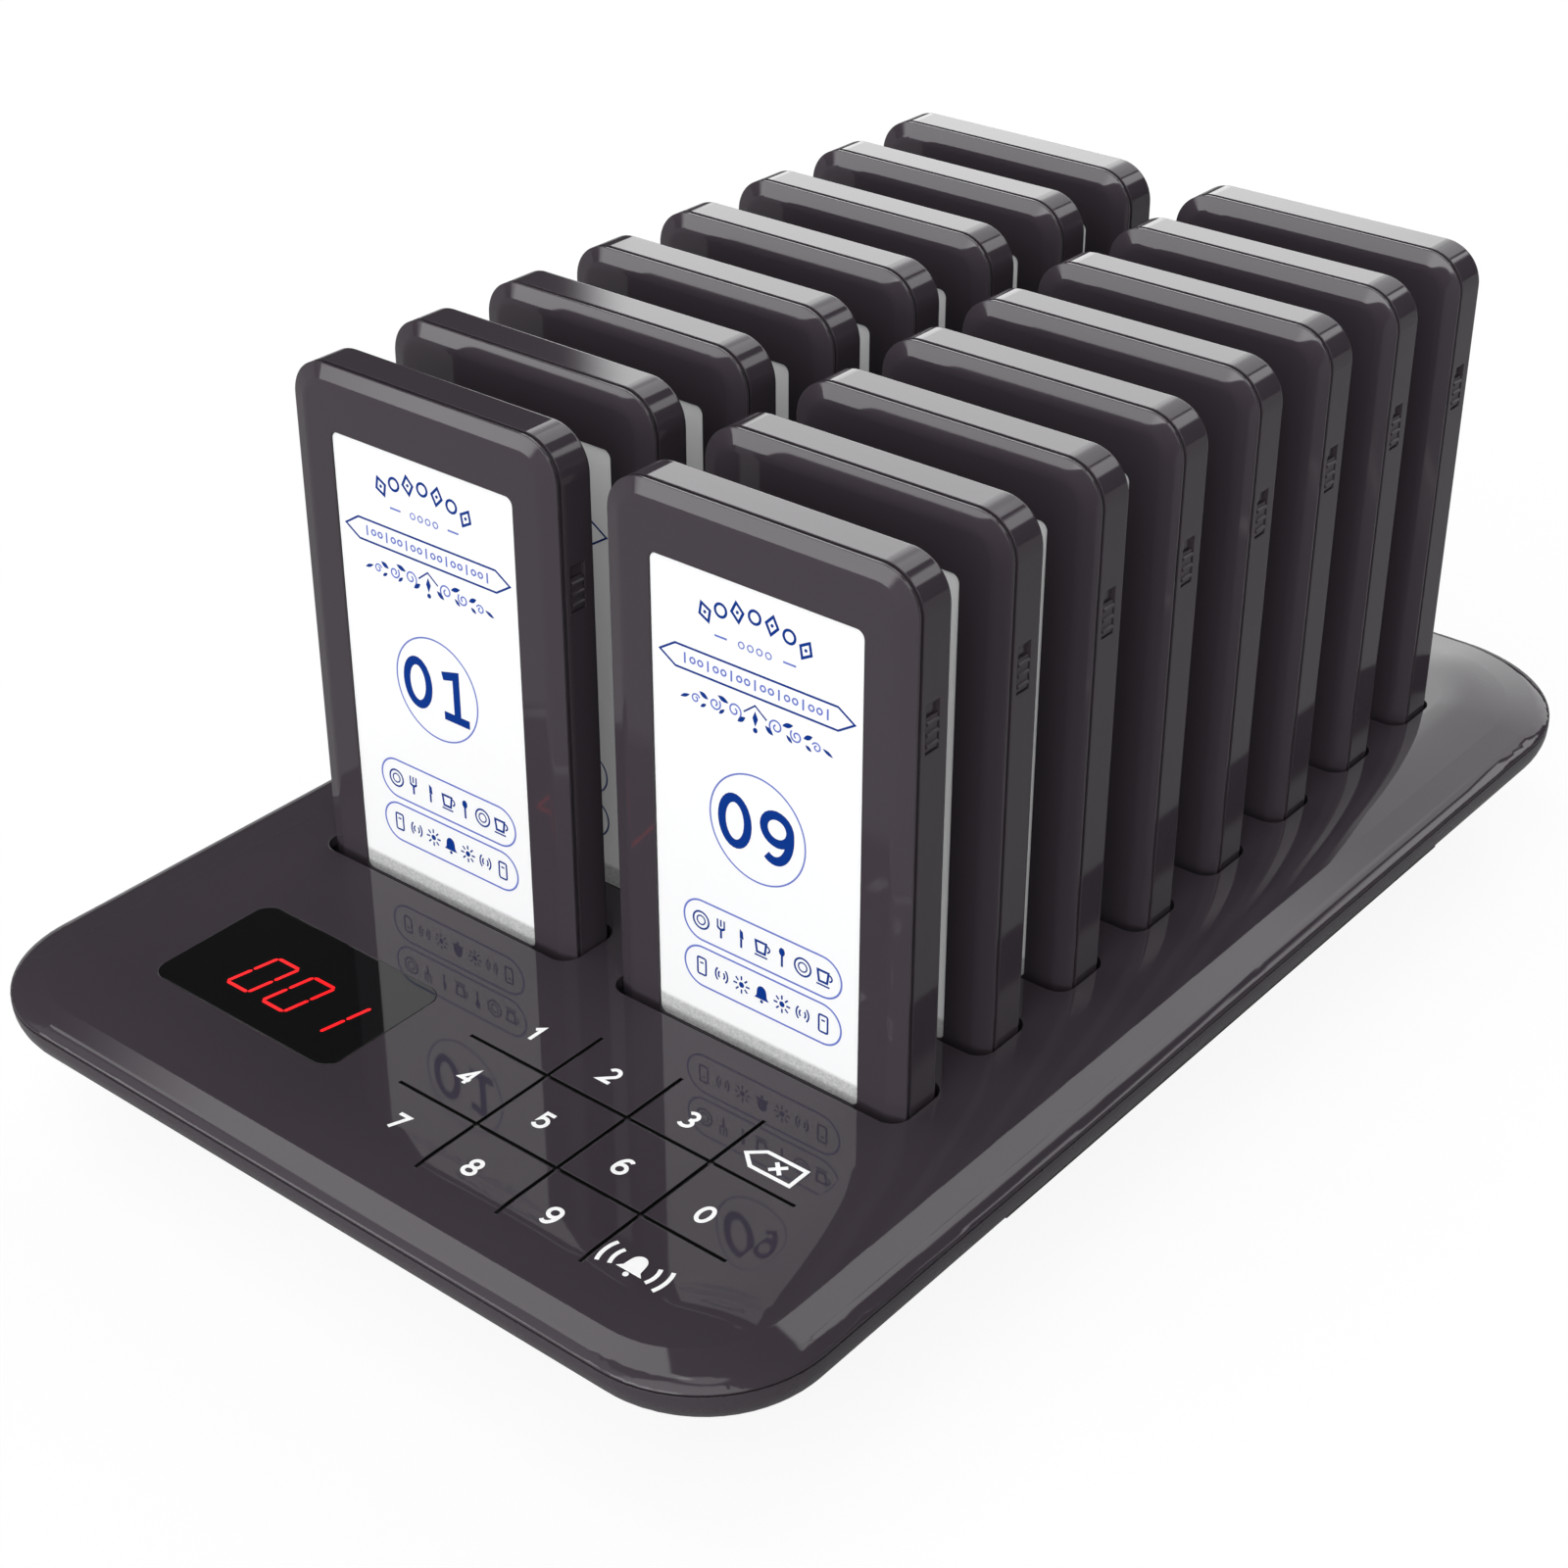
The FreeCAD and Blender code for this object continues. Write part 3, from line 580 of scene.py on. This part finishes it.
class Sheet:
    """A thin print, drawn in its own plane as strips and filled outlines. It starts with what its sources hold."""

    def __init__(self, *sources):
        self.points = []
        self.faces = []
        for source in sources:
            start = len(self.points)
            self.points.extend(source.points)
            self.faces.extend([start + index for index in face] for face in source.faces)

    def unite(self):
        """Merges all that overlaps into one flat area of triangles."""
        spots = [p / MM for p in self.points]
        drawn = [face if signed_area([spots[i] for i in face]) > 0 else face[::-1] for face in self.faces]
        merged, _, cells, _, _, origins = delaunay_2d_cdt(spots, [], drawn, 1, MERGING_GAP)
        self.points = [p * MM for p in merged]
        self.faces = [cell for cell, origin in zip(cells, origins) if origin]

    def polygon(self, outline):
        start = len(self.points)
        self.points.extend(outline)
        self.faces.append(list(range(start, start + len(outline))))

    def disc(self, centre, radius, steps=16):
        self.polygon([centre + polar(radius, 360 * k / steps) for k in range(steps)])

    def line(self, path, width, closed=False):
        """A strip of even width along path, with mitred corners."""
        count = len(path)
        half = width / 2
        left, right = [], []
        for index, here in enumerate(path):
            before = path[(index - 1) % count] if closed or index else None
            after = path[(index + 1) % count] if closed or index < count - 1 else None
            back = (here - before).normalized() if before is not None else None
            on = (after - here).normalized() if after is not None else None
            back = on if back is None else back
            on = back if on is None else on
            along = (back + on).normalized()
            across = Vector((-along.y, along.x))
            reach = half / max(MITRE_LIMIT, across.dot(Vector((-on.y, on.x))))
            left.append(here + across * reach)
            right.append(here - across * reach)
        start = len(self.points)
        self.points.extend(left + right)
        for index in range(count if closed else count - 1):
            following = (index + 1) % count
            self.faces.append([start + index, start + count + index, start + count + following])
            self.faces.append([start + index, start + count + following, start + following])

    def ring(self, centre, radius, width, steps=64):
        self.line([centre + polar(radius, 360 * k / steps) for k in range(steps)], width, closed=True)

    def leaf(self, root, tip, width, steps=8):
        """A pointed leaf from root to tip."""
        along = tip - root
        across = Vector((-along.y, along.x)).normalized() * width / 2
        shares = [k / steps for k in range(1, steps)]
        upper = [root + along * s + across * math.sin(math.pi * s) for s in shares]
        lower = [root + along * s - across * math.sin(math.pi * s) for s in reversed(shares)]
        self.polygon([root] + upper + [tip] + lower)

    def numeral(self, digit, centre, width, height, stroke, foot=False):
        for path, closed in numeral_paths(digit, foot):
            spots = [centre + Vector((p.x * (width - stroke), p.y * (height - stroke))) for p in path]
            self.line(spots, stroke, closed)

    def solid(self, name, place, outward, material):
        """The sheet as a thin closed solid: place puts a drawn point on what carries it."""
        mesh = bpy.data.meshes.new(name)
        mesh.from_pydata([place(p) - outward * PROUD for p in self.points], [], self.faces)
        body = bmesh.new()
        body.from_mesh(mesh)
        loose = [v for v in body.verts if not v.link_faces]
        bmesh.ops.delete(body, geom=loose, context="VERTS")
        for face in body.faces:
            face.normal_update()
            if face.normal.dot(outward) < 0:
                face.normal_flip()
        sides = bmesh.ops.extrude_face_region(body, geom=body.faces[:])
        raised = [v for v in sides["geom"] if isinstance(v, bmesh.types.BMVert)]
        bmesh.ops.translate(body, verts=raised, vec=outward * 2 * PROUD)
        bmesh.ops.recalc_face_normals(body, faces=body.faces[:])
        body.to_mesh(mesh)
        body.free()
        mesh.materials.append(material)
        return link(bpy.data.objects.new(name, mesh))


def draw_arch(sheet):
    """Seven marks on an arch: lozenges and rings by turns."""
    for step in range(-3, 4):
        middle = Vector((0, ARCH_CENTRE)) + polar(ARCH_RADIUS, 90 - ARCH_STEP * step)
        outward = polar(1.0, 90 - ARCH_STEP * step)
        across = Vector((outward.y, -outward.x))
        if step % 2:
            half_up, half_across = outward * ARCH_MARK / 2, across * ARCH_MARK * LOZENGE_SHARE
            corners = [middle + half_up, middle + half_across, middle - half_up, middle - half_across]
            sheet.line(corners, ARCH_LINE, closed=True)
            sheet.disc(middle, ARCH_MARK * DOT_SHARE)
        else:
            sheet.ring(middle, ARCH_MARK * RING_SHARE, ARCH_LINE, 24)


def draw_rule(sheet):
    """A dash, four rings and a dash."""
    for side in (-1, 1):
        sheet.line([Vector((x * side, RULE_HEIGHT)) for x in RULE_ENDS], FIRM_LINE)
    for step in (-1.5, -0.5, 0.5, 1.5):
        sheet.ring(Vector((step * RULE_PITCH, RULE_HEIGHT)), RULE_RING, FINE_LINE, 16)


def draw_banner(bold, fine):
    """A pointed frame with a row of small beads and ticks inside."""
    points = [
        (BANNER_HALF, 0),
        (BANNER_SHOULDER, BANNER_RISE),
        (-BANNER_SHOULDER, BANNER_RISE),
        (-BANNER_HALF, 0),
        (-BANNER_SHOULDER, -BANNER_RISE),
        (BANNER_SHOULDER, -BANNER_RISE),
    ]
    bold.line([Vector((x, BANNER_HEIGHT + y)) for x, y in points], BOLD_LINE, closed=True)
    reach = BANNER_SHOULDER - BANNER_MARGIN
    tick = Vector((0, TICK_HALF))
    for step in range(BANNER_MARKS):
        middle = Vector((-reach + 2 * reach * step / (BANNER_MARKS - 1), BANNER_HEIGHT))
        if step % 3:
            fine.ring(middle, BEAD_RADIUS, SLIM_LINE, 12)
        else:
            fine.line([middle - tick, middle + tick], FIRM_LINE)


def draw_scrolls(bold, fine):
    """A low symmetric flourish: a peak with a lozenge between two rows of winding scrolls with leaves."""
    at = placer(Vector((0, SCROLL_HEIGHT)), MM)
    bold.line([at(-2.3, 0.5), at(0, 2.3), at(2.3, 0.5)], SLIM_LINE)
    bold.polygon([at(0, 1.3), at(0.55, 0.0), at(0, -1.4), at(-0.55, 0.0)])
    bold.disc(at(0, -2.1), 0.45 * MM)
    for side in (-1, 1):
        for centre, first, last, start, turns, width in SCROLLS:
            path = spiral(at(*centre), first * MM, last * MM, start, turns)
            fine.line(mirrored(path, side), width)
        for width, leaves in LEAVES:
            for root, tip in leaves:
                bold.leaf(*mirrored([at(*root), at(*tip)], side), width * MM)


def draw_badge(bold, fine, text):
    """A pager's number in a thin ring."""
    fine.ring(Vector((BADGE_OFFSET, BADGE_HEIGHT)), BADGE_RADIUS, SLIM_LINE)
    pitch = NUMERAL_WIDTH + NUMERAL_GAP
    for place, digit in enumerate(text):
        centre = Vector(((place - (len(text) - 1) / 2) * pitch, BADGE_HEIGHT))
        bold.numeral(digit, centre, NUMERAL_WIDTH, NUMERAL_HEIGHT, NUMERAL_STROKE, foot=True)


# Each of the small signs is drawn in shares of its size: at gives the place of a point, line is the usual stroke


def icon_fork(sheet, at, line):
    sheet.line([at(0, -0.5), at(0, 0.02)], line)
    sheet.line(arc(at(0, 0.12), 0.2 * ICON_SIZE, 0.14 * ICON_SIZE, 180, 360, 10), line)
    for x in (-0.2, 0.0, 0.2):
        sheet.line([at(x, 0.14), at(x, 0.5)], line * 0.7)


def icon_knife(sheet, at, line):
    sheet.line([at(0, -0.5), at(0, -0.02)], line)
    sheet.polygon([at(-0.07, 0.0), at(-0.07, 0.5), at(0.1, 0.38), at(0.14, 0.0)])


def icon_plate(sheet, at, line):
    sheet.ring(at(0, 0), 0.46 * ICON_SIZE, line * 0.8, 28)
    sheet.ring(at(0, 0), 0.24 * ICON_SIZE, line * 0.6, 20)


def icon_cup(sheet, at, line):
    sheet.line([at(-0.34, 0.3), at(-0.26, -0.28), at(0.2, -0.28), at(0.28, 0.3)], line, closed=True)
    sheet.line(arc(at(0.3, 0.05), 0.18 * ICON_SIZE, 0.17 * ICON_SIZE, 80, -80, 10), line * 0.7)
    sheet.line([at(-0.4, -0.46), at(0.34, -0.46)], line * 0.7)


def icon_spoon(sheet, at, line):
    sheet.line([at(0, -0.5), at(0, 0.12)], line)
    sheet.polygon(arc(at(0, 0.3), 0.17 * ICON_SIZE, 0.22 * ICON_SIZE, 0, 337.5, 15))


def icon_bell(sheet, at, line):
    dome = [at(-0.42, -0.28), at(-0.3, -0.12), at(-0.28, 0.12)]
    dome += arc(at(0, 0.14), 0.27 * ICON_SIZE, 0.3 * ICON_SIZE, 170, 10, 10)
    dome += [at(0.28, 0.12), at(0.3, -0.12), at(0.42, -0.28)]
    sheet.polygon(dome)
    sheet.disc(at(0, -0.4), 0.09 * ICON_SIZE, 12)


def icon_flash(sheet, at, line):
    sheet.disc(at(0, 0), 0.15 * ICON_SIZE)
    for turn in range(0, 360, 45):
        spoke = polar(1.0, turn)
        sheet.line([at(spoke.x * 0.26, spoke.y * 0.26), at(spoke.x * 0.48, spoke.y * 0.48)], line * 0.75)


def icon_waves(sheet, at, line):
    for reach in (0.18, 0.36):
        for start in (-50, 130):
            sheet.line(arc(at(0, 0), reach * ICON_SIZE, reach * ICON_SIZE * 1.2, start, start + 100, 10), line * 0.75)


def icon_card(sheet, at, line):
    sheet.line(rounded(at(0, 0), 0.5 * ICON_SIZE, 0.92 * ICON_SIZE, 0.09 * ICON_SIZE, 3), line * 0.8, closed=True)
    sheet.line([at(-0.1, 0.18), at(0.1, 0.18)], line * 0.7)


MEAL_ICONS = (icon_plate, icon_fork, icon_knife, icon_cup, icon_spoon, icon_plate, icon_cup)
CALL_ICONS = (icon_card, icon_waves, icon_flash, icon_bell, icon_flash, icon_waves, icon_card)


def draw_pills(bold, fine):
    """Two round-ended frames with rows of small signs: take the meal, when the pager calls."""
    for height, icons in zip(PILL_HEIGHTS, (MEAL_ICONS, CALL_ICONS)):
        outline = rounded(Vector((PILL_OFFSET, height)), PILL_WIDTH, PILL_RISE, PILL_RISE / 2 - 0.01 * MM)
        fine.line(outline, PILL_LINE, closed=True)
        for place, icon in enumerate(icons):
            centre = Vector((PILL_OFFSET + (place - (len(icons) - 1) / 2) * ICON_PITCH, height))
            icon(bold, placer(centre, ICON_SIZE), ICON_LINE)


def make_cards(finishes):
    """A dark and a lighter print on each screen: what all cards share, and the pager's number."""
    shared_bold, shared_fine = Sheet(), Sheet()
    draw_arch(shared_bold)
    draw_rule(shared_fine)
    draw_banner(shared_bold, shared_fine)
    draw_scrolls(shared_bold, shared_fine)
    draw_pills(shared_bold, shared_fine)
    shared_bold.unite()
    shared_fine.unite()
    for number in PAGERS:
        low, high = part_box("pager_%s_screen" % number)
        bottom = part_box("pager_%s_housing" % number)[0].z
        face = Vector(((low.x + high.x) / 2, low.y, bottom))
        bold, fine = Sheet(), Sheet()
        draw_badge(bold, fine, number)
        bold.unite()
        bold, fine = Sheet(shared_bold, bold), Sheet(shared_fine, fine)
        for sheet, kind, finish in ((bold, "print", "print_dark"), (fine, "fine_print", "print_light")):
            name = "pager_%s_%s" % (number, kind)
            piece = sheet.solid(name, lambda p: face + EAST * p.x + UP * p.y, -NORTH, finishes[finish])
            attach(piece, "pager_" + number)


def draw_back_arrow(sheet, centre):
    """A rubbing-out key: a tag that points left with a cross inside."""
    at = placer(centre, ARROW_SIZE)
    sheet.line(
        [at(-1.0, 0), at(-0.52, 0.42), at(0.98, 0.42), at(0.98, -0.42), at(-0.52, -0.42)],
        LEGEND_STROKE,
        closed=True,
    )
    for side in (-1, 1):
        sheet.line([at(0.01, -0.21 * side), at(0.43, 0.21 * side)], LEGEND_STROKE)


def draw_call_bell(sheet, centre):
    """A ringing bell with sound waves on each side."""
    at = placer(centre, BELL_SIZE)
    dome = [at(-0.50, -0.30), at(-0.34, -0.14), at(-0.31, 0.10)]
    dome += arc(at(0, 0.12), 0.30 * BELL_SIZE, 0.34 * BELL_SIZE, 170, 10, 12)
    dome += [at(0.31, 0.10), at(0.34, -0.14), at(0.50, -0.30)]
    sheet.polygon(dome)
    sheet.disc(at(0, -0.43), 0.10 * BELL_SIZE, 14)
    for reach, spread in BELL_WAVES:
        for middle in (0, 180):
            wave = arc(centre, reach * BELL_SIZE, reach * BELL_SIZE, middle - spread, middle + spread, 10)
            sheet.line(wave, LEGEND_STROKE)


def make_legends(finishes):
    """White legends printed on the cover, draped over its crowned front."""
    height = cover_height()
    low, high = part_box("touch_pads")
    pitch = (high.x - low.x - 2 * PAD_RADIUS) / (len(KEY_ROWS[0]) - 1)
    first = Vector((low.x + PAD_RADIUS + LEGEND_LEFT, high.y - PAD_RADIUS + LEGEND_FRONT))
    sheet = Sheet()
    for row, keys in enumerate(KEY_ROWS):
        for column, key in enumerate(keys):
            centre = first + Vector(
                (
                    column * pitch + row * LEGEND_ROW_SHIFT,
                    -row * LEGEND_ROW_PITCH + column * LEGEND_COLUMN_DROP,
                )
            )
            if key == "back":
                draw_back_arrow(sheet, centre)
            elif key == "bell":
                draw_call_bell(sheet, centre)
            else:
                sheet.numeral(key, centre, LEGEND_WIDTH, LEGEND_HEIGHT, LEGEND_STROKE)
    sheet.unite()
    legends = sheet.solid("key_legends", lambda p: height(p.x, p.y), UP, finishes["legend_white"])
    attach(legends, "base")


def make_digits(finishes):
    """Lit segments seen through the dark window, slanted as on such modules."""
    low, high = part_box("display_window")
    corner = Vector(((low.x + high.x) / 2, (low.y + high.y) / 2)) + DIGITS_SHIFT
    sheet = Sheet()
    for index, digit in enumerate(DIGIT_TEXT):
        for name in LIT_SEGMENTS[digit]:
            ends = [
                Vector((x * SEGMENT_WIDTH + index * DIGIT_PITCH, y * SEGMENT_HEIGHT))
                for x, y in SEGMENT_SHARES[name]
            ]
            along = (ends[1] - ends[0]).normalized()
            across = Vector((-along.y, along.x)) * SEGMENT_STROKE / 2
            start, end = ends[0] + along * SEGMENT_GAP, ends[1] - along * SEGMENT_GAP
            taper = along * SEGMENT_STROKE / 2
            outline = [
                start,
                start + taper + across,
                end - taper + across,
                end,
                end - taper - across,
                start + taper - across,
            ]
            sheet.polygon([corner + Vector((p.x + p.y * SEGMENT_SLANT, p.y)) for p in outline])
    digits = sheet.solid("lit_digits", lambda p: Vector((p.x, p.y, high.z)), UP, finishes["digit_glow"])
    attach(digits, "base")


def make_floor():
    """A pale floor that the camera sees almost white, and that throws little light back on the object."""
    mesh = bpy.data.meshes.new("floor")
    corners = [(x * FLOOR_HALF, y * FLOOR_HALF, 0) for x, y in ((-1, -1), (1, -1), (1, 1), (-1, 1))]
    mesh.from_pydata(corners, [], [(0, 1, 2, 3)])
    floor = link(bpy.data.objects.new("floor", mesh))
    material, nodes = new_material("floor")
    tone = nodes.remap(nodes.noise(nodes.place(), FLOOR_CLOUD_SCALE), *FLOOR_TONE)
    path = nodes.add("LightPath").outputs
    seen = nodes.math("MAXIMUM", path["Is Camera Ray"], path["Is Transmission Ray"])
    given = nodes.remap(seen, 1.0 - FLOOR_LOSS, 1.0)
    paint = nodes.add("BsdfDiffuse", {"Color": nodes.math("MULTIPLY", tone, given)}).outputs[0]
    glow = nodes.add("Emission", {"Color": (1, 1, 1, 1), "Strength": 1.0}).outputs[0]
    mixed = nodes.add("MixShader", {0: nodes.math("MULTIPLY", seen, FLOOR_WHITE_SHARE), 1: paint, 2: glow})
    nodes.add("OutputMaterial", {"Surface": mixed.outputs[0]})
    mesh.materials.append(material)


def make_world():
    """The light patches in a dim surround, with plain white for the camera."""
    world = bpy.data.worlds.new("studio")
    bpy.context.scene.world = world
    world.use_nodes = True
    nodes = Nodes(world.node_tree)
    direction = nodes.add("TexCoord").outputs["Generated"]
    axes = nodes.add("SeparateXYZ", {0: direction}).outputs
    left = nodes.math("MULTIPLY", axes["X"], -1.0)
    half_turn = nodes.math("MULTIPLY", nodes.math("ARCTAN2", left, axes["Y"]), math.degrees(1))
    wrap = nodes.math("MULTIPLY", nodes.math("LESS_THAN", half_turn, ALL_ROUND[0]), 360.0)
    turn = nodes.math("ADD", half_turn, wrap)
    rise = nodes.math("MULTIPLY", nodes.math("ARCSINE", axes["Z"]), math.degrees(1))
    total = AMBIENT
    for patch in PATCHES:
        wide = nodes.band(turn, patch.turn, patch.turn_fade)
        tall = nodes.band(rise, patch.rise, patch.rise_fade)
        glow = nodes.math("MULTIPLY", nodes.math("MULTIPLY", wide, tall), patch.strength)
        total = nodes.math("ADD", glow, total)
    seen = nodes.add("LightPath").outputs["Is Camera Ray"]
    shown = nodes.add("Mix", {0: seen, 2: total, 3: 1.0}, data_type="FLOAT").outputs[0]
    back = nodes.add("Background", {"Color": (1, 1, 1, 1), "Strength": shown})
    nodes.add("OutputWorld", {"Surface": back.outputs[0]})


bpy.context.scene.view_settings.view_transform = "Standard"
make_camera()
finishes = make_materials()
dress_frame(finishes)
gild_charging_pads(finishes)
shade_key_lines(finishes)
make_cards(finishes)
make_legends(finishes)
make_digits(finishes)
make_floor()
make_world()
